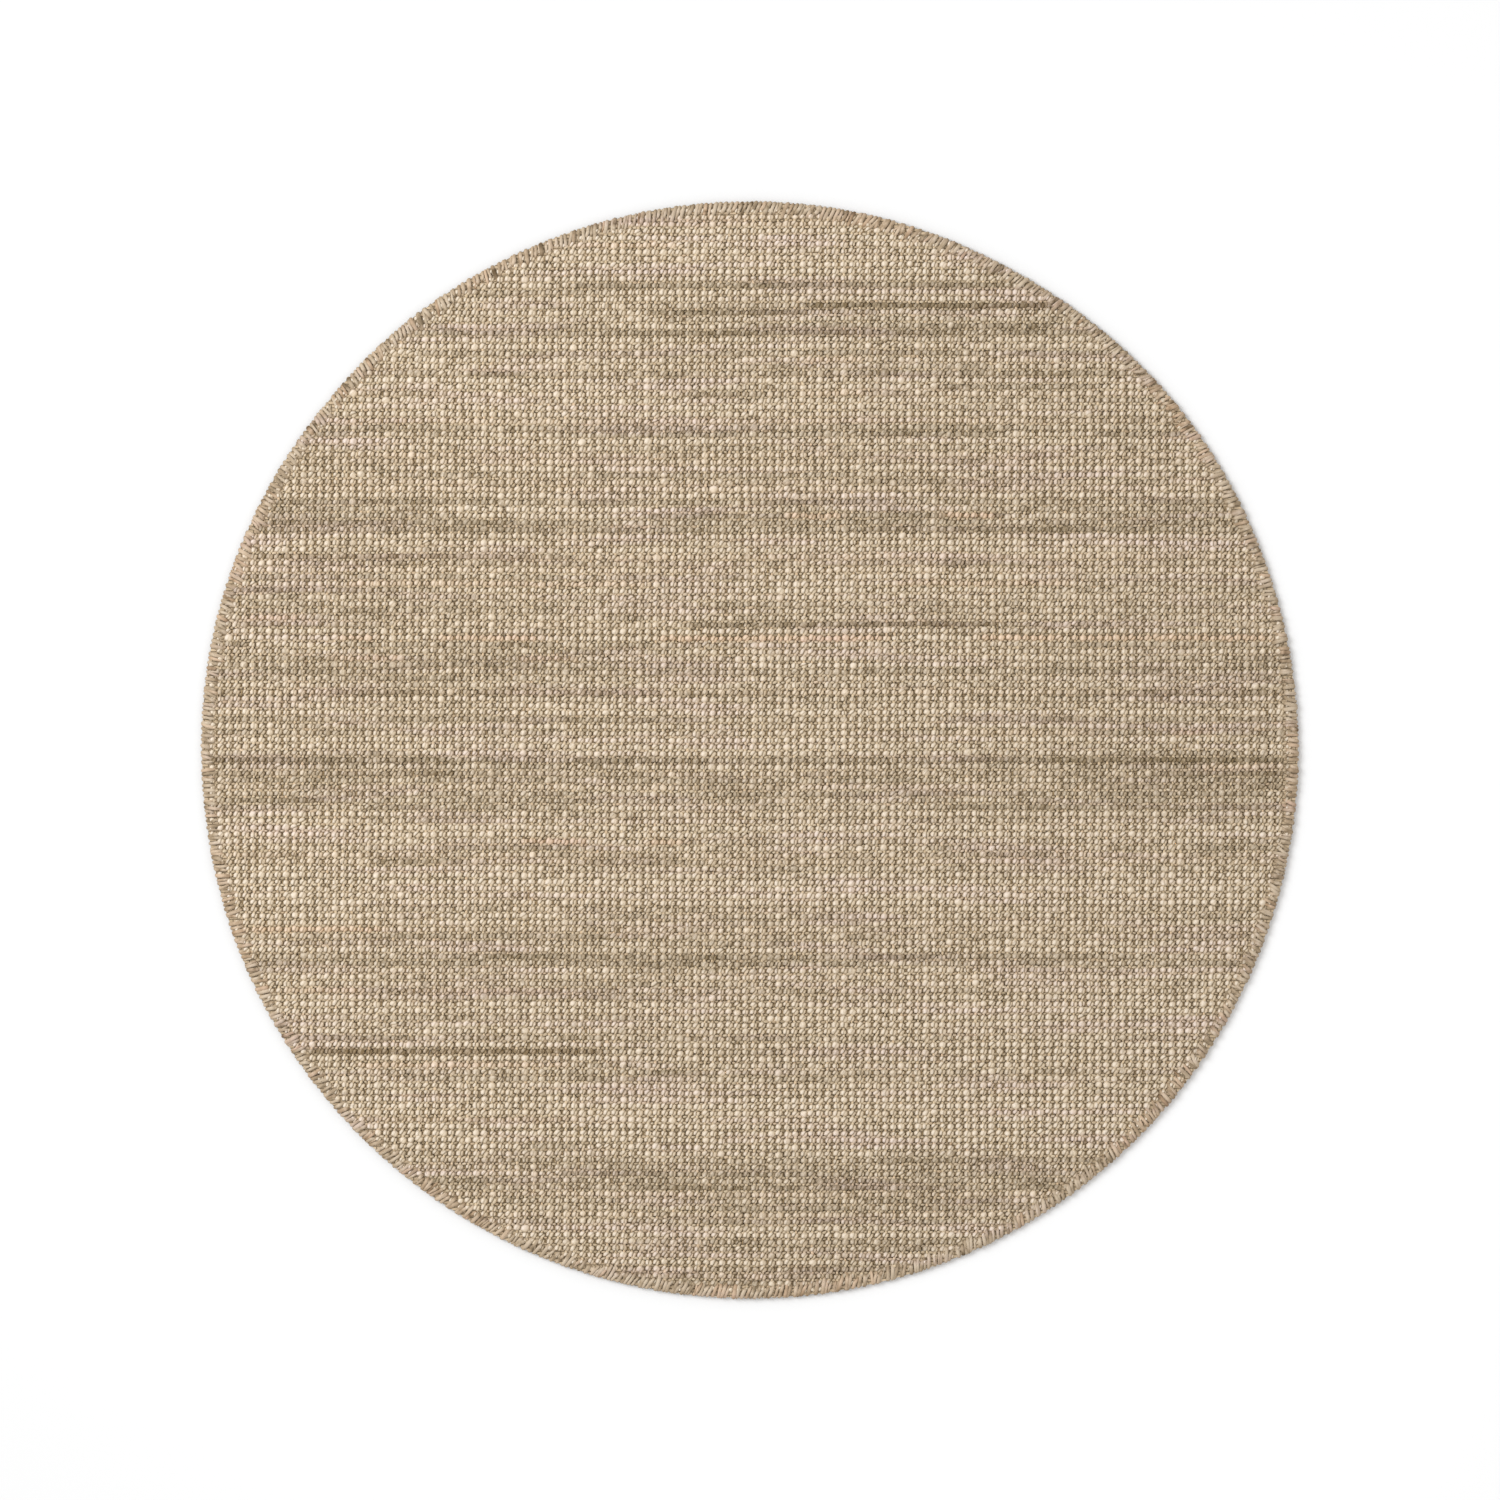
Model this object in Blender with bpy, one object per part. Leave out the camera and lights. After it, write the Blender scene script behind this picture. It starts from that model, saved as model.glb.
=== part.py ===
"""A round hand-woven jute rug, 1.2 m across: the looped field, cut round, and the yarn whipped over its edge.

Metres, +Z up. The rug lies flat on z = 0, with the middle of its underside at the origin. Seen from above,
+X is to the right and +Y is up: the yarns run along X, and the rows of loops stand side by side along X, so the
field is ribbed along Y.
"""

import math

import bmesh
import bpy

# The rug
RUG_RADIUS = 0.600
RUG_HEIGHT = 0.0100
OUTLINE_STEPS = 160

# The hand-cut edge strays from a true circle: where each swell or dent is, how wide it is and how far it goes
OUTLINE_SWELLS = (
    {"at_deg": 35, "spread_deg": 9, "outwards": 0.0007},
    {"at_deg": 60, "spread_deg": 11, "outwards": -0.0015},
    {"at_deg": 128, "spread_deg": 6, "outwards": 0.0006},
    {"at_deg": 142, "spread_deg": 6, "outwards": -0.0007},
    {"at_deg": 168, "spread_deg": 11, "outwards": 0.0010},
    {"at_deg": 204, "spread_deg": 13, "outwards": 0.0008},
)

# The field: loops 9 mm apart along each yarn make ribs with a furrow between them
RIB_COUNT = 134
RIB_PITCH = 2 * RUG_RADIUS / RIB_COUNT
RIB_SHOULDER = 0.32 * RIB_PITCH
RIB_CREST_Z = RUG_HEIGHT
RIB_SHOULDER_Z = RUG_HEIGHT - 0.0007
FURROW_Z = RUG_HEIGHT - 0.0036

# The whipping: how far it reaches in over the field, and its yarn above, below and outside the field's rim
WHIP_REACH = 0.0130
WHIP_HEIGHT = 0.0094
WHIP_ABOVE = 0.0031
WHIP_BELOW = 0.0020
WHIP_OUTSIDE = 0.0032
WHIP_INNER_RADIUS = RUG_RADIUS - WHIP_REACH
FIT_GAP = 0.0003

# What cuts the field reaches this far past the cloth
CUT_MARGIN = 0.004


def clear_scene():
    """Removes every object of the scene that this script starts in."""
    for leftover in list(bpy.data.objects):
        bpy.data.objects.remove(leftover, do_unlink=True)


def make_material(name, colour, roughness):
    """A matt finish, as its base colour and roughness."""
    material = bpy.data.materials.new(name)
    material.use_nodes = True
    shader = material.node_tree.nodes["Principled BSDF"]
    shader.inputs["Base Color"].default_value = (*colour, 1.0)
    shader.inputs["Roughness"].default_value = roughness
    shader.inputs["Metallic"].default_value = 0.0
    material.diffuse_color = (*colour, 1.0)
    return material


def add_object(name, mesh_builder, material=None):
    """Turns a filled bmesh into a named object with a finish."""
    mesh = bpy.data.meshes.new(name)
    mesh_builder.to_mesh(mesh)
    mesh_builder.free()
    part = bpy.data.objects.new(name, mesh)
    bpy.context.scene.collection.objects.link(part)
    if material:
        mesh.materials.append(material)
    return part


def outline_shift(angle):
    """How far the rug's edge lies outside a true circle at this angle."""
    shift = 0.0
    for swell in OUTLINE_SWELLS:
        away = math.remainder(angle - math.radians(swell["at_deg"]), math.tau)
        shift += swell["outwards"] * math.exp(-((away / math.radians(swell["spread_deg"])) ** 2))
    return shift


def add_ring(mesh_builder, radius, height):
    """One ring of points that follows the rug's uneven outline at this nominal radius."""
    ring = []
    for step in range(OUTLINE_STEPS):
        angle = math.tau * step / OUTLINE_STEPS
        reach = radius + outline_shift(angle)
        point = (reach * math.cos(angle), reach * math.sin(angle), height)
        ring.append(mesh_builder.verts.new(point))
    return ring


def bridge_rings(mesh_builder, lower, upper):
    """Joins two rings with a band of faces that points outwards where upper lies above lower."""
    for step in range(OUTLINE_STEPS):
        after = (step + 1) % OUTLINE_STEPS
        mesh_builder.faces.new((lower[step], lower[after], upper[after], upper[step]))


def add_cutting_form():
    """What the ribbed cloth is cut to: a disc whose rim is pressed thin where the whipping goes round it."""
    low_z, high_z = -CUT_MARGIN, RUG_HEIGHT + CUT_MARGIN
    disc_radius = WHIP_INNER_RADIUS - FIT_GAP
    rim_radius = RUG_RADIUS - WHIP_OUTSIDE - FIT_GAP
    rim_low_z = WHIP_BELOW + FIT_GAP
    rim_high_z = WHIP_HEIGHT - WHIP_ABOVE - FIT_GAP
    profile = (
        (disc_radius, low_z),
        (disc_radius, rim_low_z),
        (rim_radius, rim_low_z),
        (rim_radius, rim_high_z),
        (disc_radius, rim_high_z),
        (disc_radius, high_z),
    )
    form = bmesh.new()
    rings = [add_ring(form, radius, height) for radius, height in profile]
    for lower, upper in zip(rings, rings[1:]):
        bridge_rings(form, lower, upper)
    form.faces.new(list(reversed(rings[0])))
    form.faces.new(rings[-1])
    cutter = add_object("cutting_form", form)
    cutter.hide_render = True
    cutter.display_type = "WIRE"
    return cutter


def rib_profile():
    """The cloth's cross-section, as (x, z) points: the flat underside, then the ribs from right to left."""
    half_width = RUG_RADIUS + CUT_MARGIN
    points = [(-half_width, 0.0), (half_width, 0.0), (half_width, FURROW_Z)]
    for rib in reversed(range(RIB_COUNT)):
        crest_x = (rib - (RIB_COUNT - 1) / 2) * RIB_PITCH
        points.append((crest_x + RIB_PITCH / 2, FURROW_Z))
        points.append((crest_x + RIB_SHOULDER, RIB_SHOULDER_Z))
        points.append((crest_x, RIB_CREST_Z))
        points.append((crest_x - RIB_SHOULDER, RIB_SHOULDER_Z))
    points.append((-RUG_RADIUS, FURROW_Z))
    points.append((-half_width, FURROW_Z))
    return points


def add_field(material):
    """The looped cloth in one piece: a ribbed length of it, cut round with a thin rim."""
    half_length = RUG_RADIUS + CUT_MARGIN
    cloth = bmesh.new()
    section = [cloth.verts.new((x, -half_length, z)) for x, z in rib_profile()]
    end_face = cloth.faces.new(section)
    extruded = bmesh.ops.extrude_face_region(cloth, geom=[end_face])
    far_points = [item for item in extruded["geom"] if isinstance(item, bmesh.types.BMVert)]
    bmesh.ops.translate(cloth, verts=far_points, vec=(0.0, 2 * half_length, 0.0))
    bmesh.ops.recalc_face_normals(cloth, faces=cloth.faces)
    field = add_object("woven_field", cloth, material)
    cut = field.modifiers.new("Cut round", "BOOLEAN")
    cut.operation = "INTERSECT"
    cut.solver = "EXACT"
    cut.object = add_cutting_form()
    return field


def whipping_profile():
    """The whipping's cross-section, as (radius, z) points: round outside, open inwards to take the rim."""
    inner = WHIP_INNER_RADIUS
    pocket = RUG_RADIUS - WHIP_OUTSIDE
    return (
        (pocket, WHIP_HEIGHT - WHIP_ABOVE),
        (pocket, WHIP_BELOW),
        (inner, WHIP_BELOW),
        (inner, 0.0),
        (RUG_RADIUS - 0.0050, 0.0),
        (RUG_RADIUS - 0.0016, 0.0012),
        (RUG_RADIUS, 0.0044),
        (RUG_RADIUS - 0.0012, 0.0074),
        (RUG_RADIUS - 0.0044, 0.0090),
        (RUG_RADIUS - 0.0084, WHIP_HEIGHT),
        (inner + 0.0012, WHIP_HEIGHT - 0.0004),
        (inner, WHIP_HEIGHT - 0.0014),
        (inner, WHIP_HEIGHT - WHIP_ABOVE),
    )


def add_whipping(material):
    """The yarn sewn over and over the rug's edge, as the closed ring that its stitches make together."""
    whipping = bmesh.new()
    rings = [add_ring(whipping, radius, height) for radius, height in whipping_profile()]
    for lower, upper in zip(rings, rings[1:] + rings[:1]):
        bridge_rings(whipping, lower, upper)
    bmesh.ops.recalc_face_normals(whipping, faces=whipping.faces)
    ring = add_object("edge_whipping", whipping, material)
    ring.data.shade_smooth()
    ring.data.set_sharp_from_angle(angle=math.radians(50))
    return ring


def main():
    """Builds the rug's two pieces."""
    clear_scene()
    add_field(make_material("jute_loops", (0.46, 0.37, 0.25), 0.95))
    add_whipping(make_material("jute_whipping", (0.42, 0.33, 0.22), 0.95))


main()
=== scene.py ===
"""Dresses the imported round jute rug: its looped yarns, the ground cloth between them and the whipped edge.

Metres, +Z up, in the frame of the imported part: the rug lies on z = 0 with its middle at the origin. The fat
two-ply yarns run along X in rows, and each rises in round loops that stand in columns along Y. Thin ground
wefts lie between the rows and show as small beads in the furrows, and straight warps bind the rows down.
"""

import logging
import math
from dataclasses import dataclass, field
from enum import Enum

import bpy
import numpy as np
from bpy.types import Material, Mesh, Node, NodeOutputs, NodeSocket, NodeTree, Object
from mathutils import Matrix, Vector


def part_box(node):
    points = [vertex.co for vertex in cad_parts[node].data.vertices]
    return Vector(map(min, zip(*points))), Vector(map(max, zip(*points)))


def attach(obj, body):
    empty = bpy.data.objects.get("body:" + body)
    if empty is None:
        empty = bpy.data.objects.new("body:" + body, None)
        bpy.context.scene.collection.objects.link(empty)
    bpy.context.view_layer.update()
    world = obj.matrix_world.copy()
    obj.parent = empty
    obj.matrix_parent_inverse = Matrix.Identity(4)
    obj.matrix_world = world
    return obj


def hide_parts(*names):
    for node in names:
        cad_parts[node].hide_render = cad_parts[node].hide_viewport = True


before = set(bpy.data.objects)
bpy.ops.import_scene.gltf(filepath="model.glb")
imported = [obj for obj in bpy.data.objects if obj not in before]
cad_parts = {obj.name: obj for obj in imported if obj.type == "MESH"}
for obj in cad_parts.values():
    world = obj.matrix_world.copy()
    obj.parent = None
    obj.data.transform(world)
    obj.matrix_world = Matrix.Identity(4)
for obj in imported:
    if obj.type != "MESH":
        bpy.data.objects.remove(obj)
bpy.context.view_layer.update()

Array, Draws = np.ndarray, np.random.Generator
Colour = tuple[float, float, float]
LOG = logging.getLogger("rug")
# The attribute of each point's lightness, warmth and painted shade
TONE_AND_SHADE_ATTRIBUTE = "jute_tone_and_shade"
# The attribute of how deep each point lies in a crease, which sets the painted shade there
CREASE_SHADE_ATTRIBUTE = "jute_crease_shade"
STRAND_MAP = "strand"
BAKE_MAP = "OFBake"
# How much of its cell in the bake map a strand leaves free at each edge
BAKE_MARGIN = 0.04


class Seed(Enum):
    """What each sub-assembly's unevenness is drawn from."""

    WEAVE = 41
    BANDS = 2
    PILE = 42
    WEFTS = 43
    WARPS = 44
    WHIPPING = 45
    FIBRES = 46

    def draws(self) -> Draws:
        """Starts the seed's random draws, which are the same on each run."""
        return np.random.default_rng(self.value)


class Twist(Enum):
    """Which way a yarn's plies turn, as the side that their creases lean to on a yarn that runs along X."""

    S = 1
    Z = -1


class Section(Enum):
    """A strand's cross-section, as the angles of its points, counter-clockwise from its top."""

    ROUND_SIX = (90, 150, 210, 270, 330, 30)
    ROUND_THREE = (90, 210, 330)
    FLAT_THREE = (30, 150, 270)

    def points(self) -> Array:
        """Works out the section's points on a strand of radius 1, as (across, up) pairs."""
        turns = np.radians(self.value)
        return np.stack([np.cos(turns), np.sin(turns)], axis=1)


@dataclass(frozen=True)
class Streak:
    """A stretch of one yarn that is lighter, darker or redder than the rest.

    Attributes:
        left_cm: Where the stretch begins, from the rug's middle.
        right_cm: Where it ends.
        tone: How many steps lighter it is; dark stretches are below 0.
        warmth: How much redder it is, from 0 to 1.
        fade: How far it takes to begin and to end.
    """

    left_cm: float
    right_cm: float
    tone: float = 0.0
    warmth: float = 0.0
    fade: float = 0.02

    def share_at(self, x: Array) -> Array:
        """How much of the streak these places along its yarn have, from 0 to 1."""
        begun = eased((x - self.left_cm / 100) / self.fade + 0.5)
        return begun * eased((self.right_cm / 100 - x) / self.fade + 0.5)


# The yarns that have streaks, counted up from the rug's middle; -1 is the first one below it
STREAKS = {row: [Streak(*streak) for streak in streaks] for row, streaks in {
    74: [(-19, -8, 1.5, 0.5)], 72: [(-6, 25, 2)], 70: [(-25, -16, 1)],
    68: [(-19, 32, -2), (-12, -1, -1)], 67: [(-31, -16, -1.5)], 66: [(12, 28, 1.5)],
    65: [(6, 33, -3)], 64: [(-11, 6, -2.5)], 62: [(-15, -1, 1)], 59: [(-25, -21, 0.8)],
    57: [(23, 32, 1.2, 0.2), (6, 13, 0.4, 0.4)], 54: [(-42, -36, 1.5), (36, 42, 1.2)], 53: [(21, 39, -2)],
    52: [(-43, -33, -1.5), (-7, 2, -2), (6, 13, 0, 0.4)], 51: [(14, 21, 1.5), (-25, -21, -1.2)],
    48: [(20, 27, 1.2)], 47: [(-46, 27, -1.3)], 46: [(27, 38, 1.5), (-31, -23, 1.2)],
    43: [(-5, 9, 0.8), (-42, -36, 0.2, 0.3)], 42: [(20, 24, -1)], 41: [(-49, -38, -1.2)],
    40: [(-20, 11, -0.9), (-35, -27, -1)], 38: [(-42, -35, 1.2), (-20, -14, 0.8)], 35: [(-35, -8, 2.5)],
    34: [(-53, -32, -1.5), (-12, 28, -2.4), (37, 53, -1.5), (21, 27, 0.6, 1), (4, 10, 0.4, 0.9)],
    33: [(-51, -46, -1.4)], 32: [(-51, -46, -1.2)], 31: [(-47, -38, 1.2), (34, 45, 1.2)],
    30: [(44, 51, 1.5)], 29: [(-56, -49, 1.5)], 28: [(-54, -19, -2), (-49, -45, -0.8)],
    25: [(12, 23, 1.2)], 24: [(-44, -11, 0, 0.4), (16, 35, -0.4, 0.5), (37, 55, -1)],
    23: [(-34, 16, 1.4)], 21: [(-46, -38, 1)],
    19: [(-16, -11, -1.8), (-55, -49, 0.2, 0.6), (-43, -38, -0.9)],
    18: [(-7, 27, -3), (-58, -36, -1), (27, 57, -0.9)],
    16: [(-45, -41, 0, 0.8), (-34, -23, 0, 0.9), (-10, 15, 0, 1), (25, 34, 0, 1), (35, 57, -0.5, 0.9)],
    15: [(-55, -44, 1.5)], 14: [(21, 27, 1)], 13: [(-46, -38, 0, 0.6), (-25, -19, -1, 0.6)],
    12: [(-4, 26, 2)], 11: [(-56, -38, -1), (-10, 19, -1)],
    8: [(-56, -46, 1), (19, 31, 2), (3, 16, 1)], 7: [(-1, 14, -0.9), (23, 38, -0.8)],
    5: [(-42, -27, -1), (-1, 9, 1.2)], 3: [(14, 23, 1.3)], 2: [(46, 50, 0, 0.6), (22, 38, 0, 0.3)],
    1: [(51, 58, -1)], -1: [(-36, -30, 1.2), (-7, 3, 1.2)], -3: [(49, 58, 0, 0.4)],
    -5: [(-57, -46, -1.2)], -6: [(-7, 4, -1.3), (38, 58, -1.5)], -8: [(-58, -46, -2), (-46, -16, -1)],
    -9: [(49, 57, -1.2), (-19, -7, 1.5)], -10: [(-56, -49, 1.2), (-44, -36, 0.8)], -11: [(-37, -28, -1)],
    -13: [(-57, -47, 3, 0.2), (47, 58, 2)], -14: [(-25, -18, 0, 0.8), (-11, -7, 0, 0.8)],
    -15: [(-34, -19, -1.2), (48, 58, -1.6)], -16: [(-57, -48, -1.2, 0.3)],
    -17: [(-41, -31, -2), (-18, -7, -1.4)], -18: [(-57, -39, 2.5), (-38, -23, 1.2)],
    -21: [(-50, -36, -0.8), (52, 57, -1)], -25: [(-56, -44, 2), (-28, -21, 1.5)],
    -26: [(-38, -27, 1)], -27: [(-55, -40, 0.3, 0.9)], -29: [(-50, -16, -0.9)], -33: [(-25, -16, 2)],
    -34: [(-40, -27, -0.8)], -36: [(-38, -21, -0.6, 0.3), (-51, -42, 0.2, 0.5)], -39: [(-50, -35, 1.8)],
    -40: [(-45, -25, -1)], -45: [(-48, -16, -3, 0.3)], -47: [(-43, -20, 0.2, 0.5)],
    -49: [(-46, -38, 1.3)], -53: [(-31, -23, 0.9)], -55: [(-42, -19, -1.3, 0.3)],
    -59: [(-25, -18, -2), (-40, -34, -0.9)], -63: [(-38, -21, 1.3)], -64: [(-35, -17, -1)],
    -69: [(-28, -24, 1.3)],
}.items()}


@dataclass(frozen=True)
class Graph:
    """A shader node tree that is being built.

    Attributes:
        tree: The tree.
    """

    tree: NodeTree

    def feed(self, node: Node, inputs: dict[str | int, object]) -> None:
        """Gives a node its inputs.

        Args:
            node: The node.
            inputs: A value or an output socket for each, by the input's name or number.
        """
        for place, value in inputs.items():
            if isinstance(value, NodeSocket):
                self.tree.links.new(value, node.inputs[place])
            else:
                node.inputs[place].default_value = value

    def add(self, kind: str, inputs: dict[str | int, object], **settings: object) -> NodeOutputs:
        """Adds a node.

        Args:
            kind: Blender's name for its type, without ShaderNode.
            inputs: What feeds it, as for feed.
            settings: The node's own settings.

        Returns:
            Its outputs.
        """
        node = self.tree.nodes.new(f"ShaderNode{kind}")
        for name, value in settings.items():
            setattr(node, name, value)
        self.feed(node, inputs)
        return node.outputs

    def maths(self, operation: str, *values: object) -> NodeSocket:
        """Adds a Math node, fed with numbers or output sockets."""
        return self.add("Math", dict(enumerate(values)), operation=operation)[0]

    def mix(self, blend: str, share: object, first: object, second: object) -> NodeSocket:
        """Adds a Mix node for colours.

        Args:
            blend: Blender's name for the way of mixing.
            share: How much of the second colour, as a number or an output socket.
            first: The first colour, as four numbers or an output socket.
            second: The second colour.

        Returns:
            The mixed colour.
        """
        inputs = {0: share, 6: first, 7: second}
        return self.add("Mix", inputs, data_type="RGBA", blend_type=blend, clamp_factor=True)[2]

    def noise(self, place: NodeSocket, detail: float) -> NodeSocket:
        """Adds a flat noise from 0 to 1, read at this place, with this many finer layers."""
        inputs = {"Scale": 1.0, "Detail": detail, "Roughness": 0.6, "Vector": place}
        return self.add("TexNoise", inputs, noise_dimensions="2D")["Fac"]


def new_material(name: str) -> tuple[Material, Graph, Node]:
    """Makes a material.

    Args:
        name: Its name.

    Returns:
        The material, its nodes and its shader.
    """
    made = bpy.data.materials.new(name)
    made.use_nodes = True
    return made, Graph(made.node_tree), made.node_tree.nodes["Principled BSDF"]


@dataclass(frozen=True)
class JuteFinish:
    """One look of jute: its colours from its darkest to its palest yarn, and how its fibres lie.

    Attributes:
        name: The material's name.
        dark: Linear colour of the darkest yarn.
        middle: Linear colour of the usual yarn.
        pale: Linear colour of the palest yarn.
        warm: What a reddish stretch is multiplied by.
        cool: What a stretch of greyer, slightly mauve yarn is multiplied by.
        deep: What yarn is multiplied by where its painted shade is full.
        crease: What it is multiplied by at the bottom of a crease between two plies, as painted shade.
        fibre_width: How far apart the fibres lie across the strand.
        fibre_length: How far a fibre shows along the strand.
        fibre_height: How far the fibres stand out.
    """

    name: str
    dark: Colour
    middle: Colour
    pale: Colour
    warm: Colour = (1.035, 0.925, 0.865)
    cool: Colour = (1.005, 0.980, 1.07)
    deep: Colour = (0.82, 0.68, 0.43)
    crease: Colour = (0.26, 0.22, 0.15)
    fibre_width: float = 0.00045
    fibre_length: float = 0.0050
    fibre_height: float = 0.00022

    def material(self) -> Material:
        """Builds the material, with the fibres from the shared node group.

        Returns:
            The finished material.
        """
        made, graph, shader = new_material(self.name)
        inputs = {name: (*getattr(self, name.lower()), 1.0) for name in JUTE_COLOURS}
        inputs |= {"Across Scale": 1 / self.fibre_width, "Along Scale": 1 / self.fibre_length}
        fibres = graph.add("Group", inputs, node_tree=jute_fibre_group())
        bump = graph.add("Bump", {"Strength": 0.8, "Distance": self.fibre_height, "Height": fibres["Height"]})
        graph.feed(shader, {
            "Base Color": fibres["Color"], "Roughness": fibres["Roughness"], "Normal": bump["Normal"],
            "Sheen Weight": 0.06, "Sheen Roughness": 0.6, "Sheen Tint": inputs["Pale"],
            "Specular IOR Level": 0.18,
        })
        return made


JUTE_COLOURS = ("Dark", "Middle", "Pale", "Warm", "Cool", "Deep", "Crease")
LOOP_FINISH = JuteFinish(
    "Jute loops", dark=(0.186, 0.140, 0.080), middle=(0.588, 0.515, 0.428), pale=(0.623, 0.556, 0.478),
)
# The ground yarns' colours are darker than the loops': partly the yarn's own, and partly painted shade, as
# these yarns lie low between the loops
GROUND_FINISH = JuteFinish(
    "Jute ground yarn", dark=(0.150, 0.113, 0.066), middle=(0.440, 0.372, 0.282), pale=(0.640, 0.575, 0.480),
    fibre_length=0.0030,
)
# The whipping's deep colour, for its painted shade, is darker than the loops'
WHIPPING_FINISH = JuteFinish(
    "Jute whipping", dark=(0.170, 0.128, 0.073), middle=(0.545, 0.468, 0.366), pale=(0.800, 0.735, 0.645),
    deep=(0.34, 0.25, 0.14), fibre_length=0.0030,
)
# Waves a metre, along and across: of the slubs and flecks on a strand, and of the cooler stretches on the rug
SLUB_SCALES = (170.0, 420.0)
FLECK_SCALES = (260.0, 900.0)
COOL_SCALES = (5.0, 55.0, 0.0)


def jute_fibre_group() -> NodeTree:
    """Builds the shader node group that every jute finish shares, the first time it is asked for.

    It reads each point's lightness, warmth and painted shade from the tone attribute, and paints shade into
    the creases between plies. Long fibres, slubs and dark flecks of bark follow the strand's own map, and
    cooler stretches cross the rug.

    Returns:
        The node group.
    """
    name = "Jute fibres"
    if name in bpy.data.node_groups:
        return bpy.data.node_groups[name]
    tree = bpy.data.node_groups.new(name, "ShaderNodeTree")
    sockets = [(colour, "Color", "INPUT") for colour in JUTE_COLOURS]
    sockets += [("Across Scale", "Float", "INPUT"), ("Along Scale", "Float", "INPUT"),
                ("Color", "Color", "OUTPUT"), ("Roughness", "Float", "OUTPUT"), ("Height", "Float", "OUTPUT")]
    for socket, kind, side in sockets:
        tree.interface.new_socket(socket, in_out=side, socket_type=f"NodeSocket{kind}")
    graph = Graph(tree)
    given = tree.nodes.new("NodeGroupInput").outputs
    strand = graph.add("SeparateXYZ", {0: graph.add("UVMap", {}, uv_map=STRAND_MAP)["UV"]})
    tone = graph.add("Attribute", {}, attribute_name=TONE_AND_SHADE_ATTRIBUTE)["Color"]
    lightness, warmth, shade = graph.add("SeparateColor", {0: tone})
    crease = graph.add("Attribute", {}, attribute_name=CREASE_SHADE_ATTRIBUTE)["Fac"]

    def strand_noise(along: object, across: object, detail: float) -> NodeSocket:
        """Noise on the strand's map, stretched by these scales."""
        along, across = graph.maths("MULTIPLY", strand[0], along), graph.maths("MULTIPLY", strand[1], across)
        return graph.noise(graph.add("CombineXYZ", {0: along, 1: across})[0], detail)

    fibre = strand_noise(given["Along Scale"], given["Across Scale"], detail=3.0)
    slub = strand_noise(*SLUB_SCALES, detail=2.0)
    fleck = strand_noise(*FLECK_SCALES, detail=1.0)
    place = graph.add("TexCoord", {})["Object"]
    stretched = graph.add("VectorMath", {0: place, 1: COOL_SCALES}, operation="MULTIPLY")[0]
    patches = graph.noise(stretched, detail=3.0)

    # The first colours go from dark to middle below a lift of a half, and from middle to pale above it
    slub_share, fibre_share, usual_lift = 0.50, 0.26, 0.38
    lift = graph.maths("MULTIPLY_ADD", fibre, fibre_share, lightness)
    lift = graph.maths("SUBTRACT", graph.maths("MULTIPLY_ADD", slub, slub_share, lift), usual_lift)
    lower = graph.mix("MIX", graph.maths("MULTIPLY", lift, 2.0), given["Dark"], given["Middle"])
    colour = graph.mix("MIX", graph.maths("MULTIPLY_ADD", lift, 2.0, -1.0), lower, given["Pale"])
    warm_share = graph.maths("MULTIPLY", warmth, graph.maths("MULTIPLY_ADD", slub, 1.2, 0.3))
    colour = graph.mix("MULTIPLY", warm_share, colour, given["Warm"])
    cool_share = graph.maths("MULTIPLY", graph.maths("SUBTRACT", patches, 0.50), 4.5)
    colour = graph.mix("MULTIPLY", cool_share, colour, given["Cool"])
    bark = graph.maths("MULTIPLY", graph.maths("SUBTRACT", fleck, 0.70), 5.0)
    colour = graph.mix("MIX", bark, colour, given["Dark"])
    # Painted shade: where a point's shade channel is low, its colour is multiplied towards the deep colour
    shadow = graph.mix("MIX", shade, given["Deep"], (1.0, 1.0, 1.0, 1.0))
    colour = graph.mix("MULTIPLY", 1.0, colour, shadow)
    # Painted shade at the bottom of the creases between plies
    colour = graph.mix("MULTIPLY", graph.maths("POWER", crease, 2.5), colour, given["Crease"])
    graph.feed(tree.nodes.new("NodeGroupOutput"), {
        "Color": colour, "Roughness": graph.maths("MULTIPLY_ADD", fibre, 0.2, 0.72),
        "Height": graph.maths("MULTIPLY_ADD", slub, 2.4, fibre),
    })
    return tree


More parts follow.
